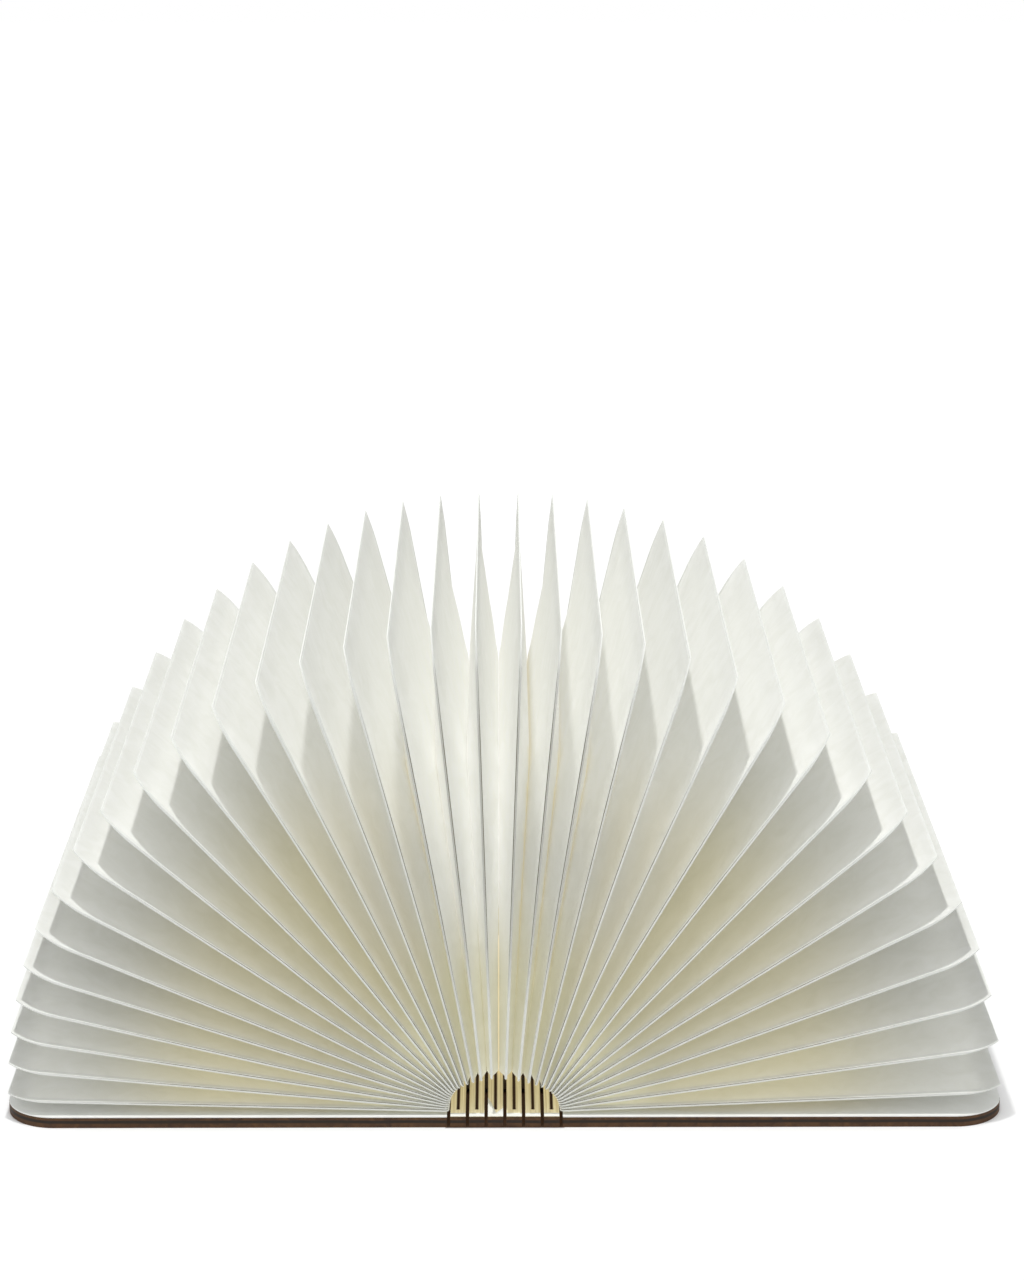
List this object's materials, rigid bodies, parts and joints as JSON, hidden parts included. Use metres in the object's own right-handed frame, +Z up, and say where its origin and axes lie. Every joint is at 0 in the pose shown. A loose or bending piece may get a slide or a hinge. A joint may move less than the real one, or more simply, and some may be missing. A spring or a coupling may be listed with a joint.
{
  "type": "folding book lamp",
  "caption": "Table lamp shaped like a hardback book: wooden covers on a hinged slat spine open flat, or right round, to fan out lit paper leaves.",
  "frame": {"origin": "on the table, under the middle of the open spine", "axes": "+X across the open book to the right, +Y from the front edge to the back along the spine, +Z up"},
  "size_m": [0.3694, 0.216, 0.1902],
  "materials": {
    "walnut": "satin dark walnut veneer on a laminated board, laser-dark edges",
    "endpaper": "smooth white paper",
    "lining_card": "raw card, fine lengthwise fibres",
    "leaf_paper": "soft white fibre paper, translucent",
    "led_strip": "white-masked strip with chips",
    "diffuser": "frosted, milky",
    "battery": "matte foil pouch",
    "driver_board": "green circuit board",
    "charge_socket": "stamped shell",
    "magnet": "nickel plate"
  },
  "bodies": {
    "left_cover": {"left_cover": "walnut", "left_endpaper": "endpaper", "battery": "battery", "driver_board": "driver_board", "charge_socket": "charge_socket", "left_magnets": "magnet"},
    "slat_1": {"slat_1": "walnut", "lining_1": "lining_card"},
    "slat_2": {"slat_2": "walnut", "lining_2": "lining_card"},
    "slat_3": {"slat_3": "walnut", "lining_3": "lining_card", "led_strip_1": "led_strip", "diffuser_1": "diffuser"},
    "slat_4": {"slat_4": "walnut", "lining_4": "lining_card", "led_strip_2": "led_strip", "diffuser_2": "diffuser"},
    "slat_5": {"slat_5": "walnut", "lining_5": "lining_card"},
    "slat_6": {"slat_6": "walnut", "lining_6": "lining_card"},
    "right_cover": {"right_cover": "walnut", "right_endpaper": "endpaper", "right_magnets": "magnet"},
    "leaf_01": {"leaf_01": "leaf_paper"},
    "leaf_02": {"leaf_02": "leaf_paper"},
    "leaf_03": {"leaf_03": "leaf_paper"},
    "leaf_04": {"leaf_04": "leaf_paper"},
    "leaf_05": {"leaf_05": "leaf_paper"},
    "leaf_06": {"leaf_06": "leaf_paper"},
    "leaf_07": {"leaf_07": "leaf_paper"},
    "leaf_08": {"leaf_08": "leaf_paper"},
    "leaf_09": {"leaf_09": "leaf_paper"},
    "leaf_10": {"leaf_10": "leaf_paper"},
    "leaf_11": {"leaf_11": "leaf_paper"},
    "leaf_12": {"leaf_12": "leaf_paper"},
    "leaf_13": {"leaf_13": "leaf_paper"},
    "leaf_14": {"leaf_14": "leaf_paper"},
    "leaf_15": {"leaf_15": "leaf_paper"},
    "leaf_16": {"leaf_16": "leaf_paper"},
    "leaf_17": {"leaf_17": "leaf_paper"},
    "leaf_18": {"leaf_18": "leaf_paper"},
    "leaf_19": {"leaf_19": "leaf_paper"},
    "leaf_20": {"leaf_20": "leaf_paper"},
    "leaf_21": {"leaf_21": "leaf_paper"},
    "leaf_22": {"leaf_22": "leaf_paper"},
    "leaf_23": {"leaf_23": "leaf_paper"},
    "leaf_24": {"leaf_24": "leaf_paper"},
    "leaf_25": {"leaf_25": "leaf_paper"},
    "leaf_26": {"leaf_26": "leaf_paper"},
    "leaf_27": {"leaf_27": "leaf_paper"},
    "leaf_28": {"leaf_28": "leaf_paper"},
    "leaf_29": {"leaf_29": "leaf_paper"},
    "leaf_30": {"leaf_30": "leaf_paper"},
    "leaf_31": {"leaf_31": "leaf_paper"},
    "leaf_32": {"leaf_32": "leaf_paper"},
    "leaf_33": {"leaf_33": "leaf_paper"},
    "leaf_34": {"leaf_34": "leaf_paper"}
  },
  "joints": [
    {"name": "kerf_1", "type": "hinge", "parent": "left_cover", "child": "slat_1", "pos_m": [-0.0207, 0, 0.002], "axis": [0, -1, 0], "range_deg": [-26.9, 25.8]},
    {"name": "kerf_2", "type": "hinge", "parent": "slat_1", "child": "slat_2", "pos_m": [-0.0138, 0, 0.002], "axis": [0, -1, 0], "range_deg": [-26.9, 25.8]},
    {"name": "kerf_3", "type": "hinge", "parent": "slat_2", "child": "slat_3", "pos_m": [-0.0069, 0, 0.002], "axis": [0, -1, 0], "range_deg": [-26.9, 25.8]},
    {"name": "kerf_4", "type": "hinge", "parent": "slat_3", "child": "slat_4", "pos_m": [0, 0, 0.002], "axis": [0, -1, 0], "range_deg": [-26.9, 25.8]},
    {"name": "kerf_5", "type": "hinge", "parent": "slat_4", "child": "slat_5", "pos_m": [0.0069, 0, 0.002], "axis": [0, -1, 0], "range_deg": [-26.9, 25.8]},
    {"name": "kerf_6", "type": "hinge", "parent": "slat_5", "child": "slat_6", "pos_m": [0.0138, 0, 0.002], "axis": [0, -1, 0], "range_deg": [-26.9, 25.8]},
    {"name": "cover_fold", "type": "hinge", "parent": "slat_6", "child": "right_cover", "pos_m": [0.0207, 0, 0.002], "axis": [0, -1, 0], "range_deg": [-26.7, 25.71]},
    {"name": "leaf_01_turn", "type": "hinge", "parent": "left_cover", "child": "leaf_01", "pos_m": [0.02511, 0, -0.0225], "axis": [0, -1, 0], "range_deg": [-1.76, 1.7]},
    {"name": "leaf_02_turn", "type": "hinge", "parent": "left_cover", "child": "leaf_02", "pos_m": [-0.00856, 0, -0.0011], "axis": [0, -1, 0], "range_deg": [-5.9, 5.69]},
    {"name": "leaf_03_turn", "type": "hinge", "parent": "left_cover", "child": "leaf_03", "pos_m": [-0.01386, 0, 0.00339], "axis": [0, -1, 0], "range_deg": [-10.13, 9.76]},
    {"name": "leaf_04_turn", "type": "hinge", "parent": "left_cover", "child": "leaf_04", "pos_m": [-0.01594, 0, 0.006], "axis": [0, -1, 0], "range_deg": [-14.6, 14.06]},
    {"name": "leaf_05_turn", "type": "hinge", "parent": "left_cover", "child": "leaf_05", "pos_m": [-0.01695, 0, 0.00802], "axis": [0, -1, 0], "range_deg": [-19.41, 18.7]},
    {"name": "leaf_06_turn", "type": "hinge", "parent": "left_cover", "child": "leaf_06", "pos_m": [-0.01741, 0, 0.00976], "axis": [0, -1, 0], "range_deg": [-24.64, 23.74]},
    {"name": "leaf_07_turn", "type": "hinge", "parent": "left_cover", "child": "leaf_07", "pos_m": [-0.01752, 0, 0.01132], "axis": [0, -1, 0], "range_deg": [-30.3, 29.18]},
    {"name": "leaf_08_turn", "type": "hinge", "parent": "slat_1", "child": "leaf_08", "pos_m": [0.00052, 0, 0.03865], "axis": [0, -1, 0], "range_deg": [-9.62, 9.27]},
    {"name": "leaf_09_turn", "type": "hinge", "parent": "slat_1", "child": "leaf_09", "pos_m": [-0.00427, 0, 0.03058], "axis": [0, -1, 0], "range_deg": [-15.92, 15.34]},
    {"name": "leaf_10_turn", "type": "hinge", "parent": "slat_1", "child": "leaf_10", "pos_m": [-0.00586, 0, 0.0271], "axis": [0, -1, 0], "range_deg": [-22.36, 21.55]},
    {"name": "leaf_11_turn", "type": "hinge", "parent": "slat_1", "child": "leaf_11", "pos_m": [-0.00635, 0, 0.02505], "axis": [0, -1, 0], "range_deg": [-28.79, 27.73]},
    {"name": "leaf_12_turn", "type": "hinge", "parent": "slat_1", "child": "leaf_12", "pos_m": [-0.00634, 0, 0.02356], "axis": [0, -1, 0], "range_deg": [-35.05, 33.76]},
    {"name": "leaf_13_turn", "type": "hinge", "parent": "slat_1", "child": "leaf_13", "pos_m": [-0.00605, 0, 0.02227], "axis": [0, -1, 0], "range_deg": [-41, 39.5]},
    {"name": "leaf_14_turn", "type": "hinge", "parent": "slat_1", "child": "leaf_14", "pos_m": [-0.00555, 0, 0.02101], "axis": [0, -1, 0], "range_deg": [-46.58, 44.86]},
    {"name": "leaf_15_turn", "type": "hinge", "parent": "slat_1", "child": "leaf_15", "pos_m": [-0.00483, 0, 0.01965], "axis": [0, -1, 0], "range_deg": [-51.72, 49.82]},
    {"name": "leaf_16_turn", "type": "hinge", "parent": "slat_1", "child": "leaf_16", "pos_m": [-0.00385, 0, 0.01809], "axis": [0, -1, 0], "range_deg": [-56.47, 54.39]},
    {"name": "leaf_17_turn", "type": "hinge", "parent": "slat_1", "child": "leaf_17", "pos_m": [-0.00253, 0, 0.01623], "axis": [0, -1, 0], "range_deg": [-60.88, 58.64]},
    {"name": "leaf_18_turn", "type": "hinge", "parent": "slat_2", "child": "leaf_18", "pos_m": [0.01145, 0, 0.0164], "axis": [0, -1, 0], "range_deg": [-38.38, 36.97]},
    {"name": "leaf_19_turn", "type": "hinge", "parent": "slat_3", "child": "leaf_19", "pos_m": [0.04791, 0, 0.0117], "axis": [0, -1, 0], "range_deg": [-15.52, 14.96]},
    {"name": "leaf_20_turn", "type": "hinge", "parent": "slat_5", "child": "leaf_20", "pos_m": [-0.0129, 0, 0.013], "axis": [0, -1, 0], "range_deg": [-33.68, 34.96]},
    {"name": "leaf_21_turn", "type": "hinge", "parent": "slat_5", "child": "leaf_21", "pos_m": [-0.01222, 0, 0.01805], "axis": [0, -1, 0], "range_deg": [-30.04, 31.18]},
    {"name": "leaf_22_turn", "type": "hinge", "parent": "slat_5", "child": "leaf_22", "pos_m": [-0.01262, 0, 0.02315], "axis": [0, -1, 0], "range_deg": [-25.79, 26.77]},
    {"name": "leaf_23_turn", "type": "hinge", "parent": "slat_6", "child": "leaf_23", "pos_m": [0.00396, 0, 0.01698], "axis": [0, -1, 0], "range_deg": [-46.58, 48.36]},
    {"name": "leaf_24_turn", "type": "hinge", "parent": "slat_6", "child": "leaf_24", "pos_m": [0.0046, 0, 0.01824], "axis": [0, -1, 0], "range_deg": [-41.04, 42.61]},
    {"name": "leaf_25_turn", "type": "hinge", "parent": "slat_6", "child": "leaf_25", "pos_m": [0.00497, 0, 0.01942], "axis": [0, -1, 0], "range_deg": [-34.99, 36.33]},
    {"name": "leaf_26_turn", "type": "hinge", "parent": "slat_6", "child": "leaf_26", "pos_m": [0.005, 0, 0.02065], "axis": [0, -1, 0], "range_deg": [-28.58, 29.67]},
    {"name": "leaf_27_turn", "type": "hinge", "parent": "slat_6", "child": "leaf_27", "pos_m": [0.00442, 0, 0.02222], "axis": [0, -1, 0], "range_deg": [-21.94, 22.77]},
    {"name": "leaf_28_turn", "type": "hinge", "parent": "slat_6", "child": "leaf_28", "pos_m": [0.00242, 0, 0.02489], "axis": [0, -1, 0], "range_deg": [-15.2, 15.78]},
    {"name": "leaf_29_turn", "type": "hinge", "parent": "slat_6", "child": "leaf_29", "pos_m": [-0.00443, 0, 0.0319], "axis": [0, -1, 0], "range_deg": [-8.47, 8.79]},
    {"name": "leaf_30_turn", "type": "hinge", "parent": "right_cover", "child": "leaf_30", "pos_m": [0.01642, 0, 0.00894], "axis": [0, -1, 0], "range_deg": [-27.54, 28.58]},
    {"name": "leaf_31_turn", "type": "hinge", "parent": "right_cover", "child": "leaf_31", "pos_m": [0.01613, 0, 0.00693], "axis": [0, -1, 0], "range_deg": [-21.03, 21.83]},
    {"name": "leaf_32_turn", "type": "hinge", "parent": "right_cover", "child": "leaf_32", "pos_m": [0.01508, 0, 0.0043], "axis": [0, -1, 0], "range_deg": [-14.7, 15.25]},
    {"name": "leaf_33_turn", "type": "hinge", "parent": "right_cover", "child": "leaf_33", "pos_m": [0.01192, 0, 0.00001], "axis": [0, -1, 0], "range_deg": [-8.57, 8.9]},
    {"name": "leaf_34_turn", "type": "hinge", "parent": "right_cover", "child": "leaf_34", "pos_m": [-0.0069, 0, -0.01678], "axis": [0, -1, 0], "range_deg": [-2.7, 2.8]}
  ],
  "couplings": [
    {"joint": "kerf_1", "follows": "cover_fold", "ratio": 1},
    {"joint": "kerf_2", "follows": "cover_fold", "ratio": 1},
    {"joint": "kerf_3", "follows": "cover_fold", "ratio": 1},
    {"joint": "kerf_4", "follows": "cover_fold", "ratio": 1},
    {"joint": "kerf_5", "follows": "cover_fold", "ratio": 1},
    {"joint": "kerf_6", "follows": "cover_fold", "ratio": 1},
    {"joint": "leaf_01_turn", "follows": "cover_fold", "ratio": 0.058333},
    {"joint": "leaf_02_turn", "follows": "cover_fold", "ratio": 0.21334},
    {"joint": "leaf_03_turn", "follows": "cover_fold", "ratio": 0.37184},
    {"joint": "leaf_04_turn", "follows": "cover_fold", "ratio": 0.5392},
    {"joint": "leaf_05_turn", "follows": "cover_fold", "ratio": 0.71961},
    {"joint": "leaf_06_turn", "follows": "cover_fold", "ratio": 0.9155},
    {"joint": "leaf_07_turn", "follows": "cover_fold", "ratio": 1.1272},
    {"joint": "leaf_08_turn", "follows": "cover_fold", "ratio": 0.35287},
    {"joint": "leaf_09_turn", "follows": "cover_fold", "ratio": 0.58886},
    {"joint": "leaf_10_turn", "follows": "cover_fold", "ratio": 0.83007},
    {"joint": "leaf_11_turn", "follows": "cover_fold", "ratio": 1.0707},
    {"joint": "leaf_12_turn", "follows": "cover_fold", "ratio": 1.3051},
    {"joint": "leaf_13_turn", "follows": "cover_fold", "ratio": 1.5283},
    {"joint": "leaf_14_turn", "follows": "cover_fold", "ratio": 1.7369},
    {"joint": "leaf_15_turn", "follows": "cover_fold", "ratio": 1.9297},
    {"joint": "leaf_16_turn", "follows": "cover_fold", "ratio": 2.1074},
    {"joint": "leaf_17_turn", "follows": "cover_fold", "ratio": 2.2726},
    {"joint": "leaf_18_turn", "follows": "cover_fold", "ratio": 1.43},
    {"joint": "leaf_19_turn", "follows": "cover_fold", "ratio": 0.57389},
    {"joint": "leaf_20_turn", "follows": "cover_fold", "ratio": -1.3018},
    {"joint": "leaf_21_turn", "follows": "cover_fold", "ratio": -1.1604},
    {"joint": "leaf_22_turn", "follows": "cover_fold", "ratio": -0.99499},
    {"joint": "leaf_23_turn", "follows": "cover_fold", "ratio": -1.8037},
    {"joint": "leaf_24_turn", "follows": "cover_fold", "ratio": -1.5883},
    {"joint": "leaf_25_turn", "follows": "cover_fold", "ratio": -1.3531},
    {"joint": "leaf_26_turn", "follows": "cover_fold", "ratio": -1.1036},
    {"joint": "leaf_27_turn", "follows": "cover_fold", "ratio": -0.84538},
    {"joint": "leaf_28_turn", "follows": "cover_fold", "ratio": -0.58333},
    {"joint": "leaf_29_turn", "follows": "cover_fold", "ratio": -0.32153},
    {"joint": "leaf_30_turn", "follows": "cover_fold", "ratio": -1.063},
    {"joint": "leaf_31_turn", "follows": "cover_fold", "ratio": -0.80996},
    {"joint": "leaf_32_turn", "follows": "cover_fold", "ratio": -0.5638},
    {"joint": "leaf_33_turn", "follows": "cover_fold", "ratio": -0.32568},
    {"joint": "leaf_34_turn", "follows": "cover_fold", "ratio": -0.097222}
  ]
}
